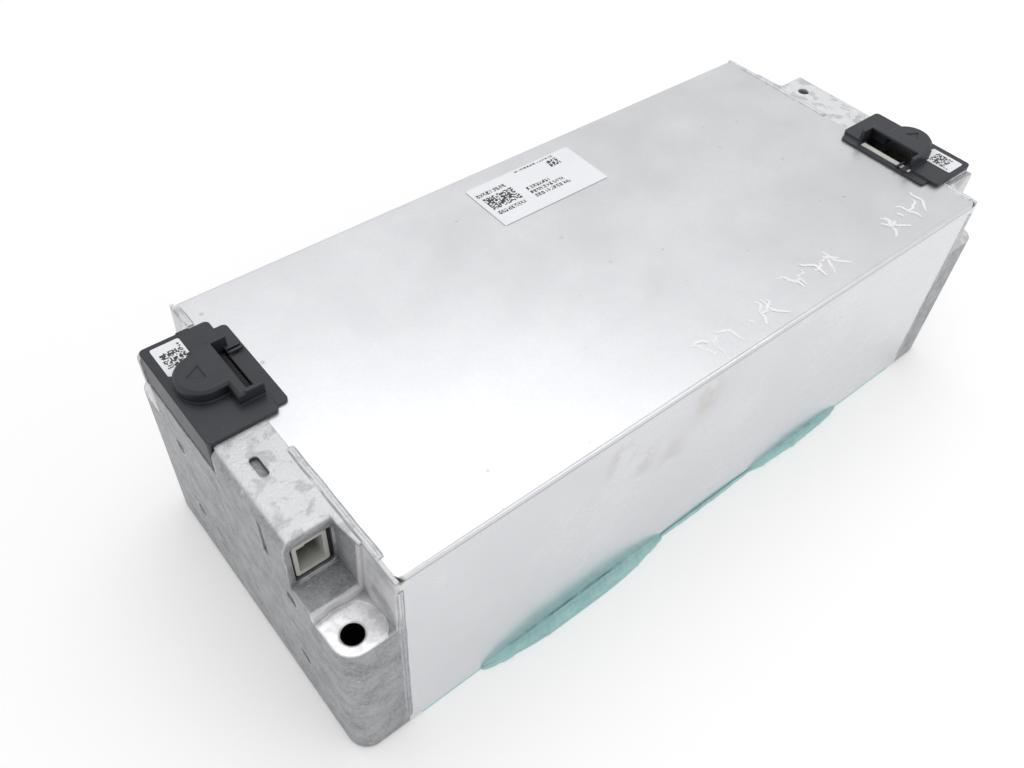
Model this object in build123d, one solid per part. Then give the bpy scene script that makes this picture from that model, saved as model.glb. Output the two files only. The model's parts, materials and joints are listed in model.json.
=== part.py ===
from build123d import *
import os

# Pouch-cell battery module in a welded aluminium housing, for an electric car.
# Frame: X along the module, connector end at -X; Y across; Z up.
# Origin: centre of the footprint, on the plane the module rests on.
# All sizes in millimetres.

# ---- cells and what stands between them (these set the housing's inside) ----
cell_count = 12               # pouch cells standing on edge, side by side along Y
cells_per_group = 4           # in parallel; the groups are in series
cell_t = 11.0                 # pouch thickness
cell_length = 276.0           # pouch body
cell_height = 98.0
cell_shoulder = 7.0           # taper from the full pouch to its sealed rim
cell_seal_l = 3.5             # sealed rim at each end
cell_seal_t = 1.2
tab_w = 45.0                  # current tab, height
tab_t = 0.4
tab_proud = 1.0               # tab tip beyond the busbar it is welded to
fin_t = 0.8                   # cooling fin between the two cells of a pair
fin_drop = 3.0                # fin top below the cell tops
foam_t = 1.6                  # compression pad between pairs and at both sides
foam_inset = 6.0              # pad edges inside the pouch outline
glue_t = 0.8                  # thermal adhesive under the cells
head_room = 4.5               # free height over the cells
top_sheet_t = 0.5             # insulating film under the cover

# ---- tab frames, busbars and their covers, at both ends ----
frame_gap = 4.0               # pouch rim to tab frame
frame_t = 5.5
frame_side_gap = 0.3
frame_rim = 5.0               # solid margin round a light pocket in the frame
pocket_margin = 1.5           # light pocket short of its cell pair, each side
busbar_t = 2.0
busbar_h = 56.0
busbar_edge = 4.0             # busbar edge short of its cell group's edge
slot_clear = 0.25             # tab to slot wall, each side
bar_clear = 0.5               # terminal busbar to the notch in the tray
tray_depth = 5.0              # insulating tray over the busbars
tray_wall = 1.2
tray_edge = 3.0               # tray short of the frame's edge, all round
tray_gap = 2.8                # tray face to the cover's end

# ---- housing ----
sheet_t = 1.5                 # folded cover and base sheet
bend_r = 1.8                  # outside radius of the cover's folds
cover_corner_r = 3.0          # plan rounding of the top sheet's corners
filler_t = 1.2                # thermal gap filler left under the base
filler_inset = 6.0            # filler edge inside the cover's ends and far side
end_depth = 22.2              # die-cast end plate, along X
end_wall = 4.0                # its outer wall
end_side = 19.0               # solid corner column, from the side face
end_floor = 6.0               # its bottom wall
end_roof_t = 5.0              # metal over its inner pocket, under the plug pocket
end_corner_r = 8.3            # plan rounding of the outer corners
rib_t = 3.0                   # stiffening ribs on the inside of the outer wall
rib_depth = 8.0
rib_count = 3
ledge_drop = 4.5              # bolt ledge under the plug pocket's floor
ledge_in = 19.8               # ledge depth from the outer face
ledge_w = 18.5                # ledge width from the side face
ledge_lean = 1.0              # how far the wall over a ledge leans back
ledge_corner_r = 4.0          # plan rounding of the ledge's inner corner
rim_w = 2.2                   # rim of the casting past the terminal cover's end
rim_drop = 1.5                # rim under the housing's top
bore_d = 8.2                  # through bore for a long M8 bolt
bore_edge = 8.2               # bore axis from the outer and side faces
spot_r = 11.0                 # spot face round the bore
spot_h = 8.5                  # height cleared over it
bore_chamfer = 0.5
box_y0 = -43.5                # raised connector box on the end plate, along Y
box_y1 = 3.2
box_edge_r = 4.5              # rounding of the outer top edge
box_end_r = 2.5               # rounding of the box's end over the plug opening
pocket_in = 18.4              # plug pocket beside the box, from the outer face
pocket_w = 13.5
pocket_lean = 3.0             # how far its inner corner slants in plan
pocket_edge_r = 1.0
recess_gap = 1.5              # outer wall under the terminal cover's skirt
bead_w = 2.8                  # weld beads on the seam between cover and end plate
bead_h = 0.7
side_bead_h = 0.4
long_bead_edge = 10.0         # top bead beside the connector box, from the side face
long_bead_y1 = -11.5
short_bead_l = 12.0           # top bead past the terminal cover
side_bead_low = 5.0           # side beads, from the housing's underside
side_bead_high = 6.8          # and from its top
dimple_d = 7.0                # blind dimples in the outer face
dimple_depth = 2.5
dimple_y = 41.0
dimple_z = (27.0, 70.0)
groove_w = 4.0                # upright groove beside the connector box
groove_h = 19.0
groove_depth = 1.2
groove_y = -28.0
vent_w = 3.5                  # obround hole in the box roof
vent_l = 10.0
vent_y = -12.2
roof_hole_d = 5.5             # round hole in the rear box's roof
roof_hole_y = -32.0

# ---- signal connector ----
port_w = 15.3                 # opening in the box's end face, along X
port_h = 20.0
port_lift = 1.0               # opening over the plug pocket's floor
port_over = 1.7               # opening's top over the cell tops
port_out = 2.4                # opening from the outer face
port_r = 1.5
cavity_l = 39.5               # cavity behind the opening, along Y
socket_l = 26.0
socket_w = 12.8
socket_h = 17.2
socket_r = 1.2
socket_side = 0.9             # socket to the opening's outer edge
socket_wall = 1.6
socket_recess = 1.0           # mouth behind the box's end face
socket_back = 3.0
key_w = 3.4
key_h = 2.0
key_in = 0.8                  # key behind the mouth
seal_l = 4.0
seal_in = 0.6
pin_rows = 2
pins_per_row = 5
pin_w = 0.64
pin_pitch = 2.2
pin_mouth = 8.0               # pin tips behind the socket's mouth
board_t = 1.6
board_clear = 0.6             # board edge to cavity wall

# ---- terminals ----
terminal_y = 31.0             # terminal centre, front end
terminal_w = 20.0             # copper tab
terminal_drop = 8.5           # tab top under the housing top
terminal_hole_d = 6.5
terminal_tip = 1.0            # tab tip to the holder's outer face
nut_af = 10.0                 # captive M6 nut
nut_t = 5.0
nut_bore_d = 5.0
nut_clear = 0.1
well_y0 = 12.0                # terminal well in the end plate
well_y1 = 48.0
well_out = 4.5                # well wall from the outer face
well_depth = 20.5
holder_w = 24.0
holder_out = 1.0              # holder to well wall
notch_l = 4.8                 # notch in the cover's top sheet at the terminal
notch_y0 = 15.0
notch_y1 = 46.0

# ---- terminal cover, moulded black plastic ----
cap_out = 0.4                 # its skirt behind the end plate's outer face
cap_reach = 27.4              # plate length along X
cap_y0 = 4.2
cap_y1 = 58.0
cap_t = 1.8
cap_r = 2.0
cap_clear = 0.3
skirt_t = 1.4
skirt_h = 12.8
lip_l = 4.9                   # thin lip on the housing's top sheet
lip_t = 1.0
lip_y0 = 6.5
lip_y1 = 53.4
roof_h = 5.2                  # raised roof over the plate
roof_t = 1.4
crown_c = 1.1                 # bevel along the roof's upper edge
dome_r = 10.2                 # its rounded end
dome_out = 13.0               # dome centre from the outer face
roof_in = 21.5                # roof's open edge from the outer face
roof_y0 = 13.4
roof_y1 = 43.0
neck_w = 4.0                  # roof's narrow end
neck_y = 20.8
ear_l = 6.0                   # end walls of the arch, past the roof
ear_t = 1.6
ear_root = 1.0                # how far it reaches back under the roof
window_l = 4.4                # window beside the roof's open edge
latch_w = 2.5                 # latch plate and rib on the lip
latch_y = 40.0
latch_h = 1.0
rib_w = 1.0
rib_y = 37.6
rib_h = 1.4
clip_t = 1.5
clip_h = 9.0
clip_l = 9.0
arrow_l = 7.0                 # plain arrow mark pressed into the dome
arrow_depth = 0.4
arrow_out = 2.0               # mark's centre outwards of the dome's centre
strip_w = 2.8                 # light strip on the rear cover's lip
strip_l = 27.0
strip_t = 0.5
strip_y = 16.5
strip_out = 0.6               # strip over the plate's inner edge
strip_clear = 0.1

# ---- labels, flex and gap filler ----
label_t = 0.15
label_l = 60.0                # on the cover's top
label_w = 29.0
label_x = 4.0
label_edge = 9.5              # from the cover's side
label_r = 1.2
tag_l = 11.4                  # on the terminal covers
tag_w = 16.0
tag_r = 1.0
tag_out = 3.8                 # from the outer face
tag_edge = 2.2                # from the terminal cover's end
flex_t = 0.4
flex_w = 11.0
flex_y = -10.0
flex_reach = 12.0             # flex past the cover's end, into the cavity
flex_clear = 1.0
sensor_l = 6.0
sensor_t = 1.5
sensor_x = 60.0
squeeze_h = 2.4               # filler squeezed past one long side, its height
squeeze_1 = 6.0               # and its reach, in two stretches
squeeze_1_x0 = -123.0
squeeze_1_x1 = -21.0
squeeze_2 = 3.0
squeeze_2_x0 = 40.0
squeeze_2_x1 = 106.0

# ---- places worked out from the sizes above ----
pair_count = cell_count // 2
pair_t = 2 * cell_t + fin_t
pair_pitch = pair_t + foam_t
stack_w = pair_count * pair_pitch + foam_t
module_width = stack_w + 2 * sheet_t
housing_height = 2 * sheet_t + glue_t + cell_height + head_room
y_side = module_width / 2
y_in = stack_w / 2
z_base = filler_t
z_floor = z_base + sheet_t
z_cell = z_floor + glue_t
z_cell_top = z_cell + cell_height
z_mid = z_cell + cell_height / 2
z_top = z_base + housing_height
z_under = z_top - sheet_t
x_cell = cell_length / 2
x_frame = x_cell + cell_seal_l + frame_gap
x_bar = x_frame + frame_t
x_tab = x_bar + busbar_t + tab_proud
x_tray = x_bar + tray_depth
x_cover = x_tray + tray_gap
x_end = x_cover + end_depth
bore_x = x_end - bore_edge
bore_y = y_side - bore_edge
z_port = z_cell_top + port_over - port_h
z_pocket = z_port - port_lift
z_ledge = z_pocket - ledge_drop
z_recess = z_top - skirt_h - recess_gap
z_well = z_top - well_depth
z_tab = z_top - terminal_drop
cap_x0 = -(x_end - cap_out)
cap_x1 = cap_x0 + cap_reach
window_x0 = -(x_end - roof_in)
window_x1 = window_x0 + window_l
dome_x = -x_end + dome_out
strip_x = cap_x1 - strip_out
rim_y = cap_y1 + cap_clear + rim_w
socket_x = -x_end + port_out + socket_side + socket_w / 2
socket_y = box_y0 + socket_recess
socket_z = z_port + port_h / 2


def block(x0, x1, y0, y1, z0, z1):
    """Rectangular solid between two corners."""
    centre = ((x0 + x1) / 2, (y0 + y1) / 2, (z0 + z1) / 2)
    return Pos(*centre) * Box(x1 - x0, y1 - y0, z1 - z0)


def rounded_block(x0, x1, y0, y1, z0, z1, r):
    """Block with its four upright edges rounded."""
    face = Rectangle(x1 - x0, y1 - y0)
    face = fillet(face.vertices(), r)
    return Pos((x0 + x1) / 2, (y0 + y1) / 2, z0) * extrude(face, z1 - z0)


def upright_cylinder(x, y, z0, z1, r):
    """Cylinder standing on z0."""
    return Pos(x, y, (z0 + z1) / 2) * Cylinder(r, z1 - z0)


def rear(shape):
    """The same shape at the other end, turned half round the upright axis."""
    return Rot(0, 0, 180) * shape


def one(shape):
    """The single solid in a boolean result."""
    solids = shape.solids()
    return solids[0] if len(solids) == 1 else shape


# ---------------------------------------------------------------- housing

def housing_cover():
    """Aluminium sheet folded down both long sides, notched over the terminals."""
    outer = Pos(0, 0, (z_base + z_top) / 2) * Box(2 * x_cover, module_width, housing_height)
    folds = outer.edges().filter_by(Axis.X).group_by(Axis.Z)[-1]
    outer = fillet(folds, bend_r)
    inner = block(-x_cover, x_cover, -y_in, y_in, z_base, z_under)
    cover = outer - inner
    for sx in (-1, 1):
        for sy in (-1, 1):
            corner = block(0, cover_corner_r, 0, cover_corner_r, -bend_r, 0)
            corner -= upright_cylinder(0, 0, -bend_r, 0, cover_corner_r)
            turn = {(1, 1): 0, (-1, 1): 90, (-1, -1): 180, (1, -1): 270}[(sx, sy)]
            corner = Rot(0, 0, turn) * corner
            place = (sx * (x_cover - cover_corner_r), sy * (y_side - cover_corner_r), z_top)
            cover -= Pos(*place) * corner
    notch = block(-x_cover, -x_cover + notch_l, notch_y0, notch_y1, z_under, z_top)
    cover -= notch
    cover -= rear(notch)
    return one(cover)


def base_plate():
    """Base sheet welded in between the cover's sides."""
    return block(-x_cover, x_cover, -y_in, y_in, z_base, z_floor)


def squeeze_out(x0, x1, reach):
    """Outline of filler pressed out past the long side, as one long soft bulge."""
    y = -y_side
    length = x1 - x0
    start, crest, shoulder = 0.13, 0.5, 0.83       # shares of the length
    points = [(x0, y), (x0 + start * length, y - 0.6 * reach), (x0 + crest * length, y - reach),
              (x0 + shoulder * length, y - 0.75 * reach), (x1, y)]
    edge = Spline(*points)
    return make_face([edge, Line(points[-1], points[0])])


def gap_filler():
    """Thermal filler layer under the base, pressed out along one long side."""
    x0 = x_cover - filler_inset
    layer = block(-x0, x0, -y_side, y_side - filler_inset, 0, filler_t)
    for start, end, reach in ((squeeze_1_x0, squeeze_1_x1, squeeze_1),
                              (squeeze_2_x0, squeeze_2_x1, squeeze_2)):
        layer += extrude(squeeze_out(start, end, reach), squeeze_h)
    return one(layer)


# ---------------------------------------------------------------- end plates

def seam_bead(length, height):
    """Weld bead lying along +Y from the origin, flat side down."""
    arc = ThreePointArc((-bead_w / 2, 0), (0, height), (bead_w / 2, 0))
    face = make_face([arc, Line((bead_w / 2, 0), (-bead_w / 2, 0))])
    return extrude(Plane.XZ * face, -length)


def weld_beads():
    """Beads on the top seam, clear of the terminal cover, and on both side seams."""
    seam = -x_cover
    start = long_bead_edge - y_side
    beads = Pos(seam, start, z_top) * seam_bead(long_bead_y1 - start, bead_h)
    beads += Pos(seam, rim_y, z_top) * seam_bead(short_bead_l, bead_h)
    length = housing_height - side_bead_low - side_bead_high
    for side in (-1, 1):
        rise = Rot(90, 0, 0) * seam_bead(length, side_bead_h)
        if side == 1:
            rise = Rot(0, 0, 180) * rise
        beads += Pos(seam, side * y_side, z_base + side_bead_low) * rise
    return beads


def corner_ledge(side):
    """Space cut away over a bolt ledge, with a leaning inner wall, and its spot face."""
    x_in = -x_end + ledge_in
    y_edge = side * y_side
    y_web = rim_y if side == 1 else ledge_w - y_side
    width = abs(y_edge - y_web)
    profile = Plane.XZ * make_face(Polyline(
        (-x_end, z_ledge), (x_in, z_ledge), (x_in + ledge_lean, z_top), (-x_end, z_top), close=True))
    cut = Pos(0, max(y_edge, y_web), 0) * extrude(profile, width)
    # rounded inner corner beside the rim
    if side == 1:
        r = ledge_corner_r
        corner = block(x_in - r, x_in + ledge_lean, y_web, y_web + r, z_ledge, z_top)
        cut -= corner - upright_cylinder(x_in - r, y_web + r, z_ledge, z_top, r)
    return cut + upright_cylinder(-bore_x, side * bore_y, z_ledge, z_ledge + spot_h, spot_r)


def plug_pocket():
    """Pocket that a plug passes through, open outwards, with an inclined inner corner."""
    x_in = -x_end + pocket_in
    y_far = box_y0 - pocket_w
    sliver = ledge_in - pocket_in
    pocket = block(-x_end, x_in, y_far, box_y0, z_pocket, z_top)
    low = Pos(0, 0, z_pocket) * make_face(Polyline(
        (x_in, y_far + pocket_lean), (x_in, y_far), (x_in + sliver / 10, y_far), close=True))
    high = Pos(0, 0, z_top) * make_face(Polyline(
        (x_in, box_y0 - pocket_lean), (x_in, y_far), (x_in + sliver, y_far), close=True))
    return pocket + loft([low, high])


def inner_pocket():
    """Pocket on the cell side, with upright ribs left on the outer wall."""
    y_pocket = y_side - end_side
    x_out = -x_end + end_wall
    z_roof = z_pocket - end_roof_t
    pocket = block(x_out, -x_cover, -y_pocket, y_pocket, z_base + end_floor, z_roof)
    pitch = 2 * y_pocket / (rib_count + 1)
    for i in range(rib_count):
        y = -y_pocket + pitch * (i + 1)
        pocket -= block(x_out, x_out + rib_depth, y - rib_t / 2, y + rib_t / 2, z_base, z_roof)
    return pocket


def connector_cavity():
    """Cavity for the socket, its round-cornered opening and the slot for the flex."""
    x0 = -x_end + port_out
    x1 = x0 + port_w
    opening = Rectangle(port_h, port_w)
    opening = fillet(opening.vertices(), port_r)
    cavity = extrude(opening, cavity_l)
    cavity = Rot(-90, 0, 0) * Rot(0, 0, 90) * cavity
    cavity = Pos((x0 + x1) / 2, box_y0, z_port + port_h / 2) * cavity
    half_w = flex_w / 2 + flex_clear
    cavity += block(x1 - port_r, -x_cover, flex_y - half_w, flex_y + half_w,
                    z_cell_top - flex_clear, z_cell_top + flex_t + flex_clear)
    return cavity


def upper_rear_pocket():
    """Cast-out space in the rear box, open to the cells."""
    return block(-x_end + end_wall, -x_cover, box_y0 + end_wall, box_y0 + cavity_l,
                 z_port, z_port + port_h)


def outer_face_marks():
    """Blind dimples and the upright groove in the outer face."""
    marks = None
    for y in (-dimple_y, dimple_y):
        for z in dimple_z:
            dimple = Rot(0, 90, 0) * Cylinder(dimple_d / 2, 2 * dimple_depth)
            dimple = Pos(-x_end, y, z_base + z) * dimple
            marks = dimple if marks is None else marks + dimple
    z0 = z_top - box_edge_r - groove_h
    groove = block(-x_end, -x_end + groove_depth, groove_y - groove_w / 2,
                   groove_y + groove_w / 2, z0, z0 + groove_h)
    return marks + groove


def edge_cut(length, r):
    """What rounding takes off an edge that lies along +Y, its corner towards -X and +Z."""
    corner = block(0, r, 0, length, -r, 0)
    bar = Rot(90, 0, 0) * Cylinder(r, length)
    return corner - Pos(r, length / 2, -r) * bar


def end_plate(is_front):
    """Die-cast end plate with bolt ledges, connector box and terminal well."""
    face = Rectangle(end_depth, module_width)
    outer_corners = face.vertices().group_by(Axis.X)[0]
    face = fillet(outer_corners, end_corner_r)
    middle = -(x_cover + x_end) / 2
    plate = Pos(middle, 0, z_base) * extrude(face, housing_height)
    plate -= Pos(-x_end, -y_side, z_top) * edge_cut(module_width, box_edge_r)
    plate -= corner_ledge(-1)
    plate -= corner_ledge(1)
    plate -= plug_pocket()
    x_pocket = -x_end + pocket_in
    plate -= Pos(x_pocket, box_y0, z_top) * Rot(0, 0, 90) * edge_cut(pocket_in, box_end_r)
    plate -= Pos(x_pocket, box_y0 - pocket_w, z_top) * edge_cut(pocket_w, pocket_edge_r)
    plate -= inner_pocket()
    # outer wall lowered for the terminal cover's skirt
    skirt_room = cap_out + skirt_t + cap_clear
    plate -= block(-x_end, -x_end + skirt_room, box_y1, cap_y1 + cap_clear, z_recess, z_top)
    # rim past the terminal cover's end, a little lower than the housing
    plate -= block(-x_end, -x_cover - bead_w / 2, cap_y1 + cap_clear, rim_y,
                   z_top - rim_drop, z_top)
    # well round the terminal, open upwards and to the cells
    plate -= block(-x_end + well_out, -x_cover, well_y0, well_y1, z_well, z_top)
    if is_front:
        plate -= connector_cavity()
        vent = SlotOverall(vent_l, vent_w)
        vent = Rot(0, 0, 90) * extrude(vent, end_depth)
        plate -= Pos(-x_end + port_out + port_w / 2, vent_y, socket_z) * vent
    else:
        plate -= upper_rear_pocket()
        plate -= upright_cylinder(dome_x, roof_hole_y, socket_z, z_top, roof_hole_d / 2)
    plate -= outer_face_marks()
    for side in (-1, 1):
        plate -= upright_cylinder(-bore_x, side * bore_y, z_base, z_ledge, bore_d / 2)
        mouth = Cone(bore_d / 2, bore_d / 2 + bore_chamfer, bore_chamfer)
        plate -= Pos(-bore_x, side * bore_y, z_ledge - bore_chamfer / 2) * mouth
    plate += weld_beads()
    return one(plate)


# ---------------------------------------------------------------- cells

def cell_y(i):
    """Centre of cell i across the module."""
    pair, second = divmod(i, 2)
    start = -y_in + foam_t + pair * pair_pitch
    return start + cell_t / 2 + second * (cell_t + fin_t)


def pouch_cell(i):
    """Pouch with tapered shoulders, sealed rims and a current tab at each end."""
    y = cell_y(i)
    body = block(-x_cell, x_cell, -cell_t / 2, cell_t / 2, z_cell, z_cell_top)
    ends = body.edges().filter_by(Axis.Z)
    body = chamfer(ends, (cell_t - cell_seal_t) / 2, cell_shoulder)
    x_rim = x_cell + cell_seal_l
    rim = block(-x_rim, x_rim, -cell_seal_t / 2, cell_seal_t / 2, z_cell, z_cell_top)
    tabs = block(-x_tab, x_tab, -tab_t / 2, tab_t / 2, z_mid - tab_w / 2, z_mid + tab_w / 2)
    return one(Pos(0, y, 0) * (body + rim + tabs))


def cooling_fin(pair):
    """Aluminium fin between the two cells of a pair, standing on the adhesive."""
    y = -y_in + foam_t + pair * pair_pitch + cell_t
    x = x_cell - cell_shoulder
    return block(-x, x, y, y + fin_t, z_cell, z_cell_top - fin_drop)


def foam_pad(i):
    """Compression pad beside a pair of cells."""
    y = -y_in + i * pair_pitch
    x = x_cell - cell_shoulder - foam_inset
    return block(-x, x, y, y + foam_t, z_cell, z_cell_top - foam_inset)


def cell_adhesive():
    """Thermal adhesive layer between the base sheet and the cells."""
    return block(-x_cell, x_cell, -y_in, y_in, z_floor, z_cell)


def top_insulation():
    """Insulating film under the cover's top sheet."""
    return block(-x_cell, x_cell, -y_in, y_in, z_under - top_sheet_t, z_under)


# ---------------------------------------------------------------- tab frames and busbars

def tab_slots(x0, x1, first, last):
    """Slots for the tabs of cells first to last, through the span x0 to x1."""
    slots = None
    half_t = tab_t / 2 + slot_clear
    half_w = tab_w / 2 + slot_clear
    for i in range(first, last + 1):
        y = cell_y(i)
        slot = block(x0, x1, y - half_t, y + half_t, z_mid - half_w, z_mid + half_w)
        slots = slot if slots is None else slots + slot
    return slots


def tab_frame():
    """Plastic frame at the front end that holds the tabs and busbars."""
    y = y_in - frame_side_gap
    frame = block(-x_bar, -x_frame, -y, y, z_floor, z_cell_top)
    frame -= tab_slots(-x_bar, -x_frame, 0, cell_count - 1)
    # light pockets over and under the slots
    for z0, z1 in ((z_floor + frame_rim, z_mid - busbar_h / 2 - frame_rim),
                   (z_mid + busbar_h / 2 + frame_rim, z_cell_top - frame_rim)):
        for pair in range(pair_count):
            y0 = cell_y(2 * pair) - cell_t / 2 + pocket_margin
            y1 = y0 + pair_t - 2 * pocket_margin
            frame -= block(-x_frame - frame_t / 2, -x_frame, y0, y1, z0, z1)
    return one(frame)


def busbar(first, last):
    """Copper plate at the front end, welded to the tabs of cells first to last."""
    y0 = cell_y(first) - cell_t / 2 + busbar_edge
    y1 = cell_y(last) + cell_t / 2 - busbar_edge
    x_out = -x_bar - busbar_t
    bar = block(x_out, -x_bar, y0, y1, z_mid - busbar_h / 2, z_mid + busbar_h / 2)
    return bar - tab_slots(x_out, -x_bar, first, last)


def link_busbar():
    """Front busbar that joins two cell groups in series."""
    return one(busbar(0, cell_count - cells_per_group - 1))


def terminal_busbar():
    """Front busbar that rises from its cell group and folds out to the terminal."""
    bar = busbar(cell_count - cells_per_group, cell_count - 1)
    x_out = -x_bar - busbar_t
    y0 = terminal_y - terminal_w / 2
    y1 = terminal_y + terminal_w / 2
    bar += block(x_out, -x_bar, y0, y1, z_mid + busbar_h / 2, z_tab)
    x_tip = -x_end + well_out + holder_out + terminal_tip
    tab = block(x_tip, x_out, y0, y1, z_tab - busbar_t, z_tab)
    tab -= upright_cylinder(dome_x, terminal_y, z_tab - busbar_t, z_tab, terminal_hole_d / 2)
    return one(bar + tab)


def insulation_tray():
    """Plastic tray over the front busbars, notched where the terminal leaves it."""
    y = y_in - frame_side_gap - tray_edge
    z0 = z_floor + tray_edge
    tray = block(-x_tray, -x_bar, -y, y, z0, z_cell_top)
    tray -= block(-x_tray + tray_wall, -x_bar, -y + tray_wall, y - tray_wall,
                  z0 + tray_wall, z_cell_top - tray_wall)
    half_w = terminal_w / 2 + bar_clear
    tray -= block(-x_tray, -x_bar - busbar_t, terminal_y - half_w, terminal_y + half_w,
                  z_tab - busbar_t - bar_clear, z_cell_top)
    return one(tray)


# ---------------------------------------------------------------- terminals

def terminal_holder():
    """Insulating block in the terminal well, with a pocket for the captive nut."""
    x0 = -x_end + well_out + holder_out
    top = z_tab - busbar_t
    holder = block(x0, -x_cover - holder_out, terminal_y - holder_w / 2,
                   terminal_y + holder_w / 2, z_well, top)
    nut = RegularPolygon(nut_af / 2 + nut_clear, 6, major_radius=False)
    pocket = Pos(dome_x, terminal_y, top - nut_t) * extrude(nut, nut_t)
    return one(holder - pocket)


def terminal_nut():
    """Captive hexagon nut under the terminal tab."""
    nut = RegularPolygon(nut_af / 2, 6, major_radius=False)
    body = extrude(nut, nut_t) - Pos(0, 0, nut_t / 2) * Cylinder(nut_bore_d / 2, nut_t)
    return one(Pos(dome_x, terminal_y, z_tab - busbar_t - nut_t) * body)


def roof_outline(offset):
    """Plan of the raised roof: a round end run into a bar along its straight open edge."""
    outline = Pos(dome_x, terminal_y) * Circle(dome_r - offset)
    y1 = roof_y1 - offset
    for x0, y0 in ((dome_x, neck_y + offset), (window_x0 - neck_w + offset, roof_y0 + offset)):
        outline += Pos((x0 + window_x0) / 2, (y0 + y1) / 2) * Rectangle(window_x0 - x0, y1 - y0)
    return outline - Pos(window_x0 + dome_r / 2, terminal_y) * Rectangle(dome_r, 4 * dome_r)


def terminal_cover():
    """Cover over the front terminal: plate, skirt, lip, arched roof and clip legs."""
    z_plate = z_top + cap_t
    z_lip = z_top + lip_t
    z_roof = z_plate + roof_h
    x_lip = cap_x1 + lip_l
    plate = rounded_block(cap_x0, cap_x1, cap_y0, cap_y1, z_top, z_plate, cap_r)
    cover = plate + rounded_block(cap_x1 - 2 * cap_r, x_lip, lip_y0, lip_y1, z_top, z_lip, cap_r)
    # inner part of the plate, at the lip's level
    cover -= block(window_x1, cap_x1, roof_y0 + ear_t, latch_y + latch_w, z_lip, z_plate)
    roof = extrude(roof_outline(0), roof_h)
    crown = roof.edges().group_by(Axis.Z)[-1]
    crown = crown.filter_by(lambda edge: edge.center().X < window_x0 - crown_c / 2)
    roof = chamfer(crown, crown_c)
    cover += Pos(0, 0, z_plate) * roof
    cover -= Pos(0, 0, z_top) * extrude(roof_outline(roof_t), cap_t + roof_h - roof_t)
    # window beside the roof's open edge
    cover -= block(window_x0 - roof_t, window_x1, roof_y0 + ear_t, roof_y1 - ear_t,
                   z_top, z_plate)
    for y in (roof_y0, roof_y1 - ear_t):
        cover += block(window_x0 - ear_root, window_x0 + ear_l, y, y + ear_t, z_lip, z_roof)
    for y, width, height in ((latch_y, latch_w, latch_h), (rib_y, rib_w, rib_h)):
        cover += block(window_x1, x_lip - cap_r / 2, y, y + width, z_lip, z_lip + height)
    cover -= block(strip_x - strip_clear, strip_x + strip_w + strip_clear, strip_y,
                   strip_y + strip_l + strip_clear, z_lip, z_lip + strip_t + strip_clear)
    skirt = rounded_block(cap_x0, cap_x0 + 4 * cap_r, cap_y0, cap_y1,
                          z_top - skirt_h, z_top, cap_r)
    skirt -= block(cap_x0 + skirt_t, cap_x0 + 4 * cap_r, cap_y0, cap_y1, z_top - skirt_h, z_top)
    cover += skirt
    for y in (well_y0 + cap_clear, well_y1 - cap_clear - clip_t):
        cover += block(dome_x - clip_l / 2, dome_x + clip_l / 2, y, y + clip_t,
                       z_top - clip_h, z_top)
    arrow = Triangle(a=arrow_l, b=arrow_l, c=arrow_l)
    arrow = Rot(0, 0, 90) * extrude(arrow, arrow_depth)
    cover -= Pos(dome_x - arrow_out, terminal_y, z_roof - arrow_depth) * arrow
    return one(cover)


def terminal_tag():
    """Small blank tag on the front terminal cover."""
    x0 = -x_end + tag_out
    y1 = cap_y1 - tag_edge
    z0 = z_top + cap_t
    tag = rounded_block(x0, x0 + tag_l, y1 - tag_w, y1, z0, z0 + label_t, tag_r)
    return one(tag - Pos(0, 0, z0) * extrude(roof_outline(-cap_clear), label_t))


def cover_strip():
    """Light insulating strip on the lip of the rear terminal cover."""
    z0 = z_top + lip_t
    return block(strip_x, strip_x + strip_w, strip_y, strip_y + strip_l, z0, z0 + strip_t)


# ---------------------------------------------------------------- signal connector

def socket_bar(width, height, y0, y1, radius):
    """Rounded rectangular bar along Y on the socket's axis."""
    face = Rectangle(height, width)
    face = fillet(face.vertices(), radius)
    bar = Rot(-90, 0, 0) * Rot(0, 0, 90) * extrude(face, y1 - y0)
    return Pos(socket_x, y0, socket_z) * bar


def pin_places():
    """Centres of the pins across the socket."""
    x0 = socket_x - pin_pitch * (pin_rows - 1) / 2
    z0 = socket_z - pin_pitch * (pins_per_row - 1) / 2
    places = []
    for row in range(pin_rows):
        for i in range(pins_per_row):
            places.append((x0 + row * pin_pitch, z0 + i * pin_pitch))
    return places


def connector_socket():
    """Moulded socket, open at its mouth, with a stepped key in one corner."""
    y1 = socket_y + socket_l
    socket = socket_bar(socket_w, socket_h, socket_y, y1, socket_r)
    inside = socket_bar(socket_w - 2 * socket_wall, socket_h - 2 * socket_wall,
                        socket_y, y1 - socket_back, socket_r / 2)
    socket -= inside
    x0 = socket_x - socket_w / 2 + socket_wall
    z1 = socket_z + socket_h / 2 - socket_wall
    sunk = socket_wall / 2
    socket += block(x0 - sunk, x0 + key_w, socket_y + key_in, y1 - socket_back,
                    z1 - key_h, z1 + sunk)
    for x, z in pin_places():
        socket -= block(x - pin_w / 2, x + pin_w / 2, y1 - socket_back, y1,
                        z - pin_w / 2, z + pin_w / 2)
    return one(socket)


def connector_pins():
    """Square pins through the socket's back wall, ending on the board."""
    y0 = socket_y + pin_mouth
    y1 = socket_y + socket_l
    pins = []
    for x, z in pin_places():
        pin = block(x - pin_w / 2, x + pin_w / 2, y0, y1, z - pin_w / 2, z + pin_w / 2)
        pins.append(pin.solid())
    return Compound(pins)


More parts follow.
